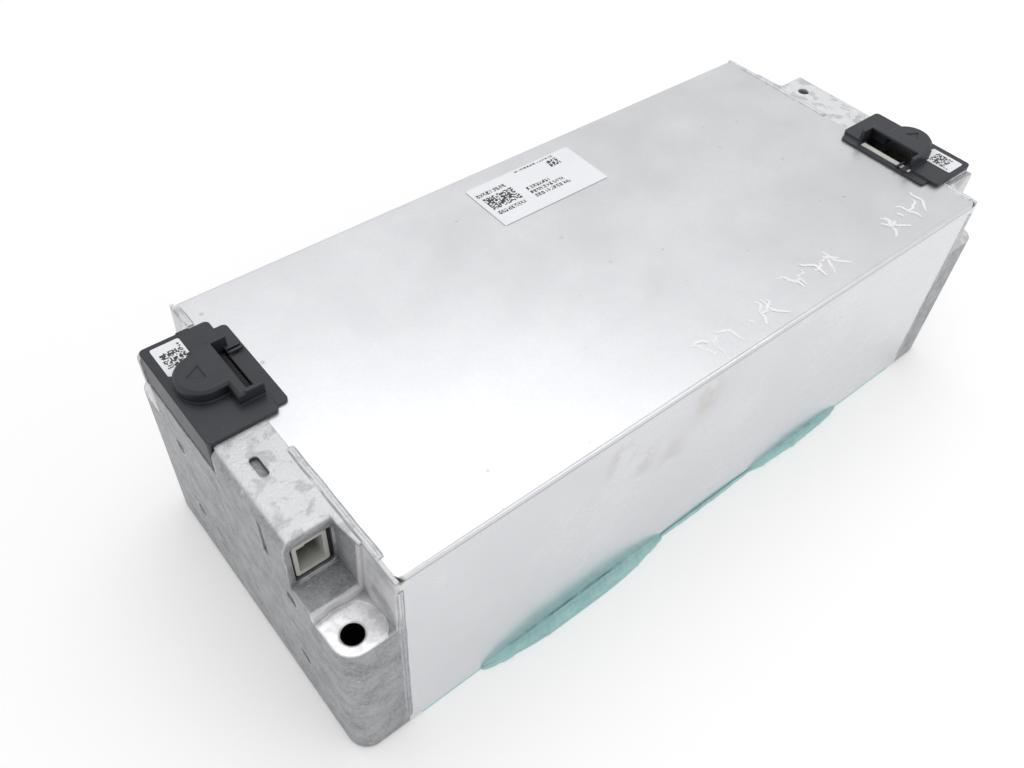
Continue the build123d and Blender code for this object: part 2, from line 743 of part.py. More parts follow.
def connector_seal():
    """Rubber sleeve between the socket and its opening."""
    x0 = -x_end + port_out
    y0 = socket_y + seal_in
    centre = Pos(x0 + port_w / 2, y0, socket_z)
    outer = fillet(Rectangle(port_h, port_w).vertices(), port_r)
    seal = centre * (Rot(-90, 0, 0) * Rot(0, 0, 90) * extrude(outer, seal_l))
    return one(seal - socket_bar(socket_w, socket_h, y0, y0 + seal_l, socket_r))


def sense_board():
    """Small circuit board on the socket's back."""
    x0 = -x_end + port_out + board_clear
    y0 = socket_y + socket_l
    return block(x0, x0 + port_w - 2 * board_clear, y0, y0 + board_t,
                 z_port + board_clear, z_cell_top)


def sense_flex():
    """Flat flex along the cell tops, from the rear frame into the connector cavity."""
    return block(-x_cover - flex_reach, x_bar, flex_y - flex_w / 2, flex_y + flex_w / 2,
                 z_cell_top, z_cell_top + flex_t)


def temperature_sensors():
    """Two small temperature sensors on the flex."""
    z0 = z_cell_top + flex_t
    sensors = []
    for x in (-sensor_x, sensor_x):
        sensor = block(x - sensor_l / 2, x + sensor_l / 2, flex_y - sensor_l / 3,
                       flex_y + sensor_l / 3, z0, z0 + sensor_t)
        sensors.append(sensor.solid())
    return Compound(sensors)


def top_label():
    """Blank label on the cover's top."""
    y1 = y_side - label_edge
    return rounded_block(label_x - label_l / 2, label_x + label_l / 2, y1 - label_w, y1,
                         z_top, z_top + label_t, label_r)


# ---------------------------------------------------------------- all nodes

def build():
    """Every node of the module, by name."""
    nodes = {
        "housing_cover": housing_cover(),
        "base_plate": base_plate(),
        "gap_filler": gap_filler(),
        "end_plate_front": end_plate(True),
        "end_plate_rear": rear(end_plate(False)),
        "cell_adhesive": cell_adhesive(),
        "top_insulation": top_insulation(),
        "connector_socket": connector_socket(),
        "connector_seal": connector_seal(),
        "connector_pins": connector_pins(),
        "sense_board": sense_board(),
        "sense_flex": sense_flex(),
        "temperature_sensors": temperature_sensors(),
        "top_label": top_label(),
        "cover_strip_rear": rear(cover_strip()),
    }
    paired = {
        "tab_frame": tab_frame,
        "link_busbar": link_busbar,
        "terminal_busbar": terminal_busbar,
        "insulation_tray": insulation_tray,
        "terminal_holder": terminal_holder,
        "terminal_nut": terminal_nut,
        "terminal_cover": terminal_cover,
        "terminal_tag": terminal_tag,
    }
    for name, make in paired.items():
        shape = make()
        nodes[name + "_front"] = shape
        nodes[name + "_rear"] = rear(shape)
    for i in range(cell_count):
        nodes[f"cell_{i + 1:02d}"] = pouch_cell(i)
    for pair in range(pair_count):
        nodes[f"cooling_fin_{pair + 1}"] = cooling_fin(pair)
    for i in range(pair_count + 1):
        nodes[f"foam_pad_{i + 1}"] = foam_pad(i)
    return nodes


os.makedirs("parts", exist_ok=True)
for node_name, node_shape in build().items():
    export_step(node_shape, f"parts/{node_name}.step")
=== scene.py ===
import json
import math

import bpy
import numpy as np
from mathutils import Matrix, Vector


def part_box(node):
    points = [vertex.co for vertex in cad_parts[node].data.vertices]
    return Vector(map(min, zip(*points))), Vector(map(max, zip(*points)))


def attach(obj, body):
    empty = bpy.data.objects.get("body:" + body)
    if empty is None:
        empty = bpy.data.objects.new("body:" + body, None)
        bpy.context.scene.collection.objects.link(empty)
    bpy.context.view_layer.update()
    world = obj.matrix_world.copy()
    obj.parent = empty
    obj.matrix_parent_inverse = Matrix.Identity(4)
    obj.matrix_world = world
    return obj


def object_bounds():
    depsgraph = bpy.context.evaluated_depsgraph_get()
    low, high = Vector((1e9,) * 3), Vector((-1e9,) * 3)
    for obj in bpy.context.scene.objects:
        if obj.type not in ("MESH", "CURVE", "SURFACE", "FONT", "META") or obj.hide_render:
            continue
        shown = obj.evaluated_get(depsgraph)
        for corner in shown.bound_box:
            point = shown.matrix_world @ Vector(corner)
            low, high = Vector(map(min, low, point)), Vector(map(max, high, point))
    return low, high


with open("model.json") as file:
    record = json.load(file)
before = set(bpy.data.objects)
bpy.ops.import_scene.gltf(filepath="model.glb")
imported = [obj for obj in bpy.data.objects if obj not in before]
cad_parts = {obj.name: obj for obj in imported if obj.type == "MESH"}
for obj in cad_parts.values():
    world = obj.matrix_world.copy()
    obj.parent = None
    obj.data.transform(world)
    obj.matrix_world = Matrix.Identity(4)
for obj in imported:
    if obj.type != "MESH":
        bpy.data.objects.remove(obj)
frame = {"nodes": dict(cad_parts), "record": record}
cad_low, cad_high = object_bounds()

MM = 0.001

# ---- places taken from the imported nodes, metres ----
cover_low, cover_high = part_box("housing_cover")
label_low, label_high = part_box("top_label")
tag_low, tag_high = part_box("terminal_tag_front")
end, side, base = cover_low
top = cover_high[2]
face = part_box("end_plate_front")[0][0]
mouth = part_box("connector_socket")[0][1]

# ---- machined places of the castings, mirrored to all four corners ----
BORE_INSET = 8.2 * MM
BORE_X = -face - BORE_INSET
BORE_Y = -side - BORE_INSET
BORE_R = 4.1 * MM
SPOT_R = 11.8 * MM
LEDGE_Z = base + 76.5 * MM
TURNING = 9000.0        # radians a metre: turning marks 0.7 mm apart
ROUNDELS = ((0.0015, 0.0618, 0.0085), (-0.0171, 0.0474, 0.0075))    # ejector marks: y, z, radius

# ---- openings that are closed inwards: x and y of their middles ----
VENT = (-0.1710, -0.0122)
WINDOW = (-0.1588, 0.0282)

# ---- weld beads: width and height, and the oxide bands across them ----
TOP_BEAD = (3.1 * MM, 0.80 * MM)
SIDE_BEAD = (3.0 * MM, 0.50 * MM)
BEAD_BANDS = 5200.0     # radians a metre: bands 1.2 mm apart

# ---- brown stains on the cover: middle, radius, depth of colour ----
STAINS = (((-0.062, side, 0.090), 0.008, 0.50), ((-0.046, side, 0.078), 0.007, 0.34),
          ((-0.016, side, 0.092), 0.010, 0.34), ((-0.030, side, 0.070), 0.009, 0.24),
          ((-0.148, -0.040, top), 0.006, 0.15))

PRINT_LIFT = 0.02 * MM


# ---------------------------------------------------------------- camera

def add_camera():
    """Camera at the viewing angle, with its roll, looking down at the connector end."""
    place = Vector((-0.23258, -0.20047, 0.36046))
    azimuth, elevation, roll = (math.radians(a) for a in (42.40, 48.31, 4.20))
    forward = Vector((math.sin(azimuth) * math.cos(elevation),
                      math.cos(azimuth) * math.cos(elevation), -math.sin(elevation)))
    right = forward.cross(Vector((0, 0, 1))).normalized()
    up = right.cross(forward)
    turn = Matrix.Rotation(roll, 3, -forward)
    right, up = turn @ right, turn @ up
    data = bpy.data.cameras.new("camera")
    data.sensor_width = 36.0
    data.lens = 32.87
    data.clip_start = 0.01
    camera = bpy.data.objects.new("camera", data)
    bpy.context.scene.collection.objects.link(camera)
    axes = Matrix((right, up, -forward)).transposed()
    camera.matrix_world = Matrix.Translation(place) @ axes.to_4x4()
    bpy.context.scene.camera = camera


add_camera()


# ---------------------------------------------------------------- shader building

class Nodes:
    """Short calls for building one node tree."""

    def __init__(self, tree):
        self.tree = tree

    def add(self, kind, **values):
        """A node of a kind, with its settings and plain socket values."""
        node = self.tree.nodes.new(kind)
        for name, value in values.items():
            if name in node.inputs:
                node.inputs[name].default_value = value
            else:
                setattr(node, name, value)
        return node

    def link(self, source, target):
        self.tree.links.new(source, target)

    def value(self, source, socket):
        """Puts a number or a socket into an input."""
        if hasattr(source, "links"):
            self.link(source, socket)
        else:
            socket.default_value = source

    def math(self, operation, a, b=0.0, clamp=False):
        node = self.add("ShaderNodeMath", operation=operation)
        node.use_clamp = clamp
        self.value(a, node.inputs[0])
        self.value(b, node.inputs[1])
        return node.outputs[0]

    def plus(self, a, b, clamp=False):
        return self.math("ADD", a, b, clamp)

    def minus(self, a, b):
        return self.math("SUBTRACT", a, b)

    def times(self, a, b, clamp=False):
        return self.math("MULTIPLY", a, b, clamp)

    def band(self, source, low, high, to_low=0.0, to_high=1.0):
        """Smooth step of a value from low..high to to_low..to_high."""
        node = self.add("ShaderNodeMapRange", interpolation_type="SMOOTHSTEP")
        for name, value in (("Value", source), ("From Min", low), ("From Max", high),
                            ("To Min", to_low), ("To Max", to_high)):
            self.value(value, node.inputs[name])
        return node.outputs["Result"]

    def mix(self, mask, a, b):
        """Colour a where the mask is 0, colour b where it is 1."""
        node = self.add("ShaderNodeMix", data_type="RGBA")
        self.value(mask, node.inputs["Factor"])
        self.value(a, node.inputs[6])
        self.value(b, node.inputs[7])
        return node.outputs[2]

    def tint(self, colour, mask, share, tone):
        """Colour moved towards a tone, by a share of the mask."""
        return self.mix(self.times(mask, share), colour, tone)

    def axes(self):
        """Object coordinates x, y and z as three sockets."""
        split = self.add("ShaderNodeSeparateXYZ")
        self.link(self.add("ShaderNodeTexCoord").outputs["Object"], split.inputs[0])
        return tuple(split.outputs)

    def coords(self, scale=(1, 1, 1), shift=(0, 0, 0)):
        """Object coordinates through a Mapping node."""
        place = self.add("ShaderNodeTexCoord")
        mapping = self.add("ShaderNodeMapping")
        mapping.inputs["Location"].default_value = shift
        mapping.inputs["Scale"].default_value = scale
        self.link(place.outputs["Object"], mapping.inputs["Vector"])
        return mapping.outputs["Vector"]

    def noise(self, vector, scale, detail=3.0, roughness=0.5, distortion=0.0):
        node = self.add("ShaderNodeTexNoise", Scale=scale, Detail=detail,
                        Roughness=roughness, Distortion=distortion)
        self.link(vector, node.inputs["Vector"])
        return node.outputs["Fac"]


def new_group(name, inputs, outputs):
    """Empty shader node group with named float inputs and outputs."""
    tree = bpy.data.node_groups.new(name, "ShaderNodeTree")
    for socket, value in inputs.items():
        item = tree.interface.new_socket(name=socket, in_out="INPUT", socket_type="NodeSocketFloat")
        item.default_value = value
    for socket in outputs:
        tree.interface.new_socket(name=socket, in_out="OUTPUT", socket_type="NodeSocketFloat")
    build = Nodes(tree)
    return build, build.add("NodeGroupInput").outputs, build.add("NodeGroupOutput").inputs


def scaled_vector(build, vector, factor):
    """A vector times a number or a socket."""
    node = build.add("ShaderNodeVectorMath", operation="SCALE")
    build.link(vector, node.inputs[0])
    build.value(factor, node.inputs["Scale"])
    return node.outputs[0]


def group_cloud():
    """Soft patches: two octaves of broad noise, contrast-stretched round a half."""
    build, given, out = new_group("cloud", {"Scale": 20.0, "Contrast": 1.0}, ["Mask"])
    vector = scaled_vector(build, build.coords(), given["Scale"])
    broad = build.noise(vector, 1.0, 4.0, 0.55, 0.3)
    centred = build.minus(broad, 0.5)
    stretched = build.times(centred, given["Contrast"])
    build.link(build.plus(stretched, 0.5, clamp=True), out["Mask"])
    return build.tree


def group_specks():
    """Small spots: a Voronoi cell is a spot where its own random value is over a limit."""
    build, given, out = new_group("specks", {"Scale": 400.0, "Size": 0.25, "Share": 0.15}, ["Mask"])
    vector = scaled_vector(build, build.coords(), given["Scale"])
    cells = build.add("ShaderNodeTexVoronoi", Scale=1.0)
    build.link(vector, cells.inputs["Vector"])
    split = build.add("ShaderNodeSeparateColor")
    build.link(cells.outputs["Color"], split.inputs[0])
    chosen = build.math("LESS_THAN", split.outputs[0], given["Share"])
    reach = build.times(given["Size"], split.outputs[1])
    inside = build.band(cells.outputs["Distance"], reach, 0.0)
    build.link(build.times(inside, chosen), out["Mask"])
    return build.tree


def group_edge_wear():
    """Bright rubbed edges: how far a rounded normal leans from the true one."""
    build, given, out = new_group("edge_wear", {"Radius": 0.001, "Gain": 4.0, "Breakup": 150.0},
                                  ["Mask"])
    soft = build.add("ShaderNodeBevel", samples=6)
    build.link(given["Radius"], soft.inputs["Radius"])
    true = build.add("ShaderNodeNewGeometry")
    dot = build.add("ShaderNodeVectorMath", operation="DOT_PRODUCT")
    build.link(soft.outputs["Normal"], dot.inputs[0])
    build.link(true.outputs["Normal"], dot.inputs[1])
    lean = build.minus(1.0, dot.outputs["Value"])
    gained = build.times(lean, given["Gain"], clamp=True)
    patches = build.noise(scaled_vector(build, build.coords(), given["Breakup"]), 1.0, 3.0)
    broken = build.band(patches, 0.38, 0.6)
    build.link(build.times(gained, broken), out["Mask"])
    return build.tree


def group_rolling():
    """Rolled-sheet grain: fine streaks drawn out along X."""
    build, given, out = new_group("rolling", {"Fine": 2600.0, "Draw": 0.03}, ["Streak"])
    x, y, z = build.axes()
    join = build.add("ShaderNodeCombineXYZ")
    build.link(build.times(x, given["Draw"]), join.inputs[0])
    build.link(y, join.inputs[1])
    build.link(z, join.inputs[2])
    vector = scaled_vector(build, join.outputs[0], given["Fine"])
    build.link(build.noise(vector, 1.0, 4.0, 0.65), out["Streak"])
    return build.tree


def group_cast_skin():
    """Die-cast skin: pebbled fine noise over slow flow marks."""
    build, given, out = new_group("cast_skin", {"Fine": 1400.0, "Flow": 60.0},
                                  ["Height", "Flow mark"])
    fine = build.noise(scaled_vector(build, build.coords(), given["Fine"]), 1.0, 5.0, 0.7)
    flow = build.noise(scaled_vector(build, build.coords((1, 0.5, 1.6)), given["Flow"]),
                       1.0, 5.0, 0.6, 1.2)
    broad = build.times(flow, 0.8)
    build.link(build.plus(fine, broad), out["Height"])
    build.link(flow, out["Flow mark"])
    return build.tree


GROUPS = {"cloud": group_cloud(), "specks": group_specks(), "edge_wear": group_edge_wear(),
          "rolling": group_rolling(), "cast_skin": group_cast_skin()}


def use(build, name, output, **values):
    """A group placed in a material, with its values; returns one output."""
    node = build.add("ShaderNodeGroup")
    node.node_tree = GROUPS[name]
    for socket, value in values.items():
        build.value(value, node.inputs[socket])
    return node.outputs[output]


def new_material(name, **plain):
    """Material with a Principled BSDF; plain values are set on its own sockets."""
    material = bpy.data.materials.new(name)
    material.use_nodes = True
    build = Nodes(material.node_tree)
    shader = material.node_tree.nodes["Principled BSDF"]
    for socket, value in plain.items():
        shader.inputs[socket.replace("_", " ")].default_value = value
    return material, build, shader.inputs


def bump(build, height, strength, distance, normal_in=None):
    """Normal bent by a height, on top of another normal if one is given."""
    node = build.add("ShaderNodeBump", Strength=strength, Distance=distance)
    build.link(height, node.inputs["Height"])
    if normal_in is not None:
        build.link(normal_in, node.inputs["Normal"])
    return node.outputs["Normal"]


def near_point(build, centre, radius, soft, scale=(1, 1, 1)):
    """Mask that is 1 within a radius of a point and fades over a soft margin."""
    shift = tuple(-c * s for c, s in zip(centre, scale))
    length = build.add("ShaderNodeVectorMath", operation="LENGTH")
    build.link(build.coords(scale, shift), length.inputs[0])
    return build.band(length.outputs["Value"], radius + soft, radius)


def rgb(r, g, b):
    return (r, g, b, 1.0)


def shifted(tone, factor, lift=0.0):
    """A tone times a factor plus a lift, kept at 1 or below."""
    return rgb(*(min(1.0, factor * c + lift) for c in tone[:3]))


# ---------------------------------------------------------------- materials

def sheet_aluminium(name, tone, stained):
    """Rolled aluminium sheet: streaks, cloudy gloss, specks, rubbed folds, stains, a painted shade
    line just below the top bend and a burnt spot at the corner by the first seam."""
    material, build, shader = new_material(name)
    z = build.axes()[2]
    streak = use(build, "rolling", "Streak")
    cloud = use(build, "cloud", "Mask", Scale=24.0, Contrast=1.8)
    blotch = use(build, "cloud", "Mask", Scale=90.0, Contrast=2.2)
    fine = use(build, "cloud", "Mask", Scale=700.0, Contrast=3.0)
    dark = use(build, "specks", "Mask", Scale=170.0, Size=0.30, Share=0.10)
    pale = use(build, "specks", "Mask", Scale=330.0, Size=0.22, Share=0.08)
    worn = use(build, "edge_wear", "Mask", Radius=0.0012, Gain=3.0, Breakup=60.0)
    colour = build.mix(cloud, shifted(tone, 0.90), tone)
    colour = build.tint(colour, blotch, 0.25, rgb(0.72, 0.73, 0.77))
    colour = build.tint(colour, fine, 0.14, rgb(0.62, 0.63, 0.66))
    colour = build.tint(colour, dark, 0.45, rgb(0.30, 0.30, 0.32))
    colour = build.tint(colour, pale, 0.5, rgb(0.96, 0.96, 0.97))
    if stained:
        for centre, radius, depth in STAINS:
            spot = near_point(build, centre, radius * 0.2, radius, (1.0, 1.0, 0.7))
            ragged = build.times(spot, build.band(blotch, 0.25, 0.65))
            colour = build.tint(colour, ragged, depth, rgb(0.50, 0.45, 0.38))
    colour = build.tint(colour, worn, 0.6, rgb(0.95, 0.95, 0.96))
    # painted shade: a dark line just below the top bend, standing in for its dark reflection
    fold_shade = build.times(build.band(z, top - 0.0028, top - 0.0022),
                       build.band(z, top - 0.0014, top - 0.0018))
    colour = build.tint(colour, fold_shade, 0.50, rgb(0.26, 0.27, 0.29))
    burnt = near_point(build, (end + 0.0006, side + 0.0008, top - 0.0014), 0.0005, 0.0020)
    colour = build.tint(colour, burnt, 0.75, rgb(0.20, 0.17, 0.13))
    build.link(colour, shader["Base Color"])
    gloss = build.times(build.minus(cloud, 0.5), 0.12)
    gloss = build.plus(gloss, build.times(streak, 0.16))
    gloss = build.plus(gloss, build.times(dark, 0.2))
    flank = build.band(z, top - 0.002, top - 0.006)
    gloss = build.minus(gloss, build.times(flank, 0.10))
    build.link(build.plus(gloss, 0.27), shader["Roughness"])
    build.value(0.92, shader["Metallic"])
    waves = build.noise(build.coords(), 14.0, 2.0)
    height = build.plus(build.times(streak, 0.16), waves)
    build.link(bump(build, height, 0.10, 0.001), shader["Normal"])
    return material


def cast_aluminium():
    """Shot-blasted casting: mottled flow marks, pale scuffs, pores, rubbed edges, painted light on
    the top face, machined bolt ledges, ejector roundels, painted shade in crevices and bores."""
    material, build, shader = new_material("cast_aluminium")
    x, y, z = build.axes()
    height = use(build, "cast_skin", "Height")
    flow = use(build, "cast_skin", "Flow mark")
    cloud = use(build, "cloud", "Mask", Scale=60.0, Contrast=3.0)
    mottle = use(build, "cloud", "Mask", Scale=330.0, Contrast=3.2)
    scuff = use(build, "cloud", "Mask", Scale=150.0, Contrast=4.5)
    pores = use(build, "specks", "Mask", Scale=420.0, Size=0.40, Share=0.16)
    bright = use(build, "specks", "Mask", Scale=300.0, Size=0.42, Share=0.16)
    worn = use(build, "edge_wear", "Mask", Radius=0.0011, Gain=7.0, Breakup=110.0)
    grain = use(build, "cloud", "Mask", Scale=900.0, Contrast=4.0)
    colour = build.mix(build.band(flow, 0.35, 0.65), rgb(0.20, 0.205, 0.22),
                       rgb(0.34, 0.345, 0.36))
    colour = build.tint(colour, cloud, 0.34, rgb(0.56, 0.565, 0.58))
    colour = build.tint(colour, grain, 0.34, rgb(0.70, 0.705, 0.72))
    colour = build.tint(colour, mottle, 0.30, rgb(0.30, 0.305, 0.32))
    colour = build.tint(colour, scuff, 0.22, rgb(0.78, 0.785, 0.79))
    colour = build.tint(colour, pores, 0.7, rgb(0.12, 0.12, 0.13))
    colour = build.tint(colour, bright, 0.55, rgb(0.86, 0.86, 0.87))
    # painted light: the top face is painted lighter, standing in for the light falling on it
    top_land_light = build.band(z, top - 0.0012, top - 0.0003)
    top_land_light = build.times(top_land_light, build.band(scuff, 0.0, 0.5, 0.55, 0.95))
    colour = build.mix(top_land_light, colour, rgb(0.86, 0.865, 0.875))
    colour = build.tint(colour, worn, 0.85, rgb(0.88, 0.88, 0.89))
    # how far a point is from the nearest bore's axis
    across = build.minus(build.math("ABSOLUTE", x), BORE_X)
    along = build.minus(build.math("ABSOLUTE", y), BORE_Y)
    radius = build.math("SQRT", build.plus(build.times(across, across), build.times(along, along)))
    # a machined spot face on each bolt ledge
    level = build.math("ABSOLUTE", build.minus(z, LEDGE_Z))
    ragged = build.plus(radius, build.times(scuff, 0.0006))
    machined = build.times(build.band(level, 0.0006, 0.0003),
                           build.band(ragged, SPOT_R + 0.0005, SPOT_R))
    # the corner over each ledge is scraped bright
    corner = build.times(build.band(along, -0.0125, -0.0115), build.band(across, 0.0125, 0.0115))
    corner = build.times(corner, build.band(z, LEDGE_Z - 0.0001, LEDGE_Z))
    corner = build.times(corner, build.band(z, top - 0.001, top - 0.002))
    scraped = build.times(corner, build.band(cloud, 0.0, 0.6, 0.30, 0.85))
    colour = build.mix(scraped, colour, rgb(0.86, 0.86, 0.87))
    streak = use(build, "rolling", "Streak", Fine=1500.0, Draw=0.2)
    clean = build.times(machined, build.band(streak, 0.25, 0.6, 0.7, 1.0))
    turned = build.mix(build.band(mottle, 0.2, 0.8), rgb(0.66, 0.66, 0.68), rgb(0.84, 0.84, 0.85))
    colour = build.mix(clean, colour, turned)
    # painted shade: the colour darkens in crevices, found by ambient occlusion
    crevice_shade = build.add("ShaderNodeAmbientOcclusion", samples=4, Distance=0.004)
    crevice_shade = build.times(build.band(crevice_shade.outputs["AO"], 0.75, 0.25), 0.6)
    colour = build.mix(crevice_shade, colour, rgb(0.10, 0.10, 0.11))
    # painted shade: near-black down inside each bore, where little light reaches
    bore_shade = build.times(build.band(radius, BORE_R + 0.0004, BORE_R + 0.0001),
                       build.band(z, LEDGE_Z - 0.0002, LEDGE_Z - 0.0012))
    colour = build.mix(bore_shade, colour, rgb(0.012, 0.012, 0.014))
    build.link(colour, shader["Base Color"])
    rough = build.plus(0.40, build.times(flow, 0.22))
    rough = build.minus(rough, build.times(machined, 0.16))
    rough = build.minus(rough, build.times(worn, 0.12))
    build.link(rough, shader["Roughness"])
    build.value(0.8, shader["Metallic"])
    skin = build.times(height, build.minus(1.0, machined))
    pitted = build.times(pores, build.minus(1.0, machined))
    skin = build.minus(skin, build.times(pitted, 0.5))
    rings = build.math("SINE", build.times(radius, TURNING))
    skin = build.plus(skin, build.times(build.times(rings, 0.012), machined))
    for mark_y, mark_z, mark_radius in ROUNDELS:
        length = build.add("ShaderNodeVectorMath", operation="LENGTH")
        build.link(build.coords((0, 1, 1), (0, -mark_y, -mark_z)), length.inputs[0])
        gap = build.math("ABSOLUTE", build.minus(length.outputs["Value"], mark_radius))
        skin = build.plus(skin, build.times(build.band(gap, 0.0007, 0.0002), 1.2))
    skin = build.plus(skin, build.times(grain, build.minus(0.16, build.times(machined, 0.155))))
    rounded = build.add("ShaderNodeBevel", samples=6, Radius=0.0011)
    build.link(bump(build, skin, 0.7, 0.0006, rounded.outputs["Normal"]), shader["Normal"])
    return material


def moulded_plastic(name, tone, rough, grain=2200.0, dust=0.12, soft_edge=0.0003):
    """Moulded plastic: fine spark-eroded grain, soft sheen changes, dust, rubbed edges, painted
    shade in crevices.
    """
    material, build, shader = new_material(name)
    fine = build.noise(build.coords(), grain, 3.0, 0.6)
    cloud = use(build, "cloud", "Mask", Scale=60.0, Contrast=1.6)
    dusty = use(build, "specks", "Mask", Scale=700.0, Size=0.3, Share=0.12)
    worn = use(build, "edge_wear", "Mask", Radius=0.0005, Gain=3.0, Breakup=200.0)
    colour = build.mix(cloud, tone, shifted(tone, 1.25, 0.01))
    colour = build.tint(colour, dusty, dust, rgb(0.55, 0.54, 0.52))
    colour = build.tint(colour, worn, 0.45, shifted(tone, 1.9, 0.03))
    # painted shade: the colour darkens in crevices, found by ambient occlusion
    crevice_shade = build.add("ShaderNodeAmbientOcclusion", samples=4, Distance=0.005)
    colour = build.mix(build.band(crevice_shade.outputs["AO"], 0.85, 0.35), colour, shifted(tone, 0.35))
    build.link(colour, shader["Base Color"])
    gloss = build.plus(rough, build.times(cloud, 0.12))
    build.link(build.plus(gloss, build.times(dusty, 0.15)), shader["Roughness"])
    rounded = build.add("ShaderNodeBevel", samples=6, Radius=soft_edge)
    build.link(bump(build, fine, 0.22, 0.00012, rounded.outputs["Normal"]), shader["Normal"])
    return material


def socket_plastic():
    """Off-white connector plastic, with painted shade darkening it with depth behind its mouth."""
    material, build, shader = new_material("cream_plastic")
    cloud = use(build, "cloud", "Mask", Scale=90.0, Contrast=1.8)
    fine = build.noise(build.coords(), 1800.0, 3.0)
    dusty = use(build, "specks", "Mask", Scale=600.0, Size=0.3, Share=0.12)
    x, y, _ = build.axes()
    # painted shade: darker the deeper it lies behind the mouth
    depth_shade = build.times(build.band(y, mouth + 0.0004, mouth + 0.009), build.band(x, -0.155, -0.158))
    colour = build.mix(cloud, rgb(0.52, 0.53, 0.49), rgb(0.63, 0.635, 0.59))
    colour = build.tint(colour, dusty, 0.3, rgb(0.40, 0.39, 0.36))
    colour = build.tint(colour, depth_shade, 0.9, rgb(0.16, 0.17, 0.155))
    build.link(colour, shader["Base Color"])
    build.link(build.plus(0.42, build.times(cloud, 0.12)), shader["Roughness"])
    rounded = build.add("ShaderNodeBevel", samples=6, Radius=0.0005)
    build.link(bump(build, fine, 0.15, 0.0001, rounded.outputs["Normal"]), shader["Normal"])
    return material


def soft_filler():
    """Silicone gap filler: matte teal, mottled, with a few pits."""
    material, build, shader = new_material("gap_filler_teal", Subsurface_Weight=0.08,
                                           Subsurface_Scale=0.002)
    cloud = use(build, "cloud", "Mask", Scale=70.0, Contrast=2.0)
    fine = build.noise(build.coords(), 900.0, 4.0, 0.6)
    pits = use(build, "specks", "Mask", Scale=420.0, Size=0.4, Share=0.10)
    colour = build.mix(cloud, rgb(0.32, 0.555, 0.55), rgb(0.455, 0.70, 0.69))
    colour = build.tint(colour, pits, 0.35, rgb(0.12, 0.30, 0.29))
    build.link(colour, shader["Base Color"])
    build.link(build.plus(0.5, build.times(fine, 0.2)), shader["Roughness"])
    build.link(bump(build, fine, 0.35, 0.0004), shader["Normal"])
    return material


def plated_metal(name, tone, rough):
    """Plated or drawn metal: drawn streaks, cloudy tarnish and bright edges."""
    material, build, shader = new_material(name)
    streak = use(build, "rolling", "Streak", Fine=3000.0)
    cloud = use(build, "cloud", "Mask", Scale=80.0, Contrast=1.8)
    worn = use(build, "edge_wear", "Mask", Radius=0.0004, Gain=3.0, Breakup=250.0)
    colour = build.mix(cloud, shifted(tone, 0.78), tone)
    colour = build.tint(colour, worn, 0.5, rgb(0.93, 0.92, 0.90))
    build.link(colour, shader["Base Color"])
    build.link(build.plus(rough, build.times(streak, 0.18)), shader["Roughness"])
    build.value(1.0, shader["Metallic"])
    build.link(bump(build, streak, 0.12, 0.0002), shader["Normal"])
    return material


def pouch_film():
    """Laminated pouch film: pale metal sheen with soft dimples and crease lines."""
    material, build, shader = new_material("pouch_film")
    dents = build.noise(build.coords(), 60.0, 3.0, 0.5, 0.6)
    crease = build.noise(build.coords((0.2, 1, 1)), 900.0, 2.0)
    cloud = use(build, "cloud", "Mask", Scale=30.0, Contrast=1.5)
    build.link(build.mix(cloud, rgb(0.60, 0.62, 0.64), rgb(0.72, 0.74, 0.76)), shader["Base Color"])
    build.link(build.plus(0.25, build.times(crease, 0.2)), shader["Roughness"])
    build.value(0.6, shader["Metallic"])
    build.link(bump(build, dents, 0.4, 0.0006), shader["Normal"])
    return material


def foam_material():
    """Closed-cell foam: dark, matte, finely pitted."""
    material, build, shader = new_material("foam")
    cells = build.add("ShaderNodeTexVoronoi", Scale=1600.0)
    build.link(build.coords(), cells.inputs["Vector"])
    cloud = use(build, "cloud", "Mask", Scale=50.0)
    build.link(build.mix(cloud, rgb(0.10, 0.10, 0.11), rgb(0.16, 0.16, 0.17)), shader["Base Color"])
    build.link(build.plus(0.8, build.times(cloud, 0.12)), shader["Roughness"])
    build.link(bump(build, cells.outputs["Distance"], 0.6, 0.0004), shader["Normal"])
    return material


def label_film():
    """Printed-label stock: white satin film with faint fibre, handling marks and a painted shadow
    line along two edges of the top label."""
    material, build, shader = new_material("label_paper")
    fibre = build.noise(build.coords(), 1500.0, 3.0)
    cloud = use(build, "cloud", "Mask", Scale=60.0, Contrast=1.5)
    scuff = use(build, "specks", "Mask", Scale=500.0, Size=0.3, Share=0.06)
    colour = build.mix(cloud, rgb(0.82, 0.83, 0.86), rgb(0.88, 0.885, 0.91))
    colour = build.tint(colour, scuff, 0.3, rgb(0.5, 0.5, 0.5))
    x, y, z = build.axes()
    # painted shadow: a dark line along the label's low x and low y edges, cast by its thickness
    edge_shadow = build.math("MINIMUM", build.minus(y, label_low[1]), build.minus(x, label_low[0]))
    edge_shadow = build.times(build.band(edge_shadow, 0.00035, 0.00015),
                       build.band(z, label_high[2] + 0.001, label_high[2] + 0.0005))
    colour = build.tint(colour, edge_shadow, 0.75, rgb(0.16, 0.16, 0.18))
    build.link(colour, shader["Base Color"])
    build.link(build.plus(0.38, build.times(fibre, 0.15)), shader["Roughness"])
    build.link(bump(build, fibre, 0.08, 0.0001), shader["Normal"])
    return material


def print_ink():
    """Dark thermal-print ink, a little broken by the film's texture."""
    material, build, shader = new_material("print_ink")
    tone = rgb(0.018, 0.018, 0.026)
    fade = build.noise(build.coords(), 2500.0, 3.0)
    build.link(build.mix(build.band(fade, 0.45, 0.7), tone, shifted(tone, 1.0, 0.12)),
               shader["Base Color"])
    build.link(build.plus(0.4, build.times(fade, 0.2)), shader["Roughness"])
    build.link(bump(build, fade, 0.05, 0.0001), shader["Normal"])
    return material


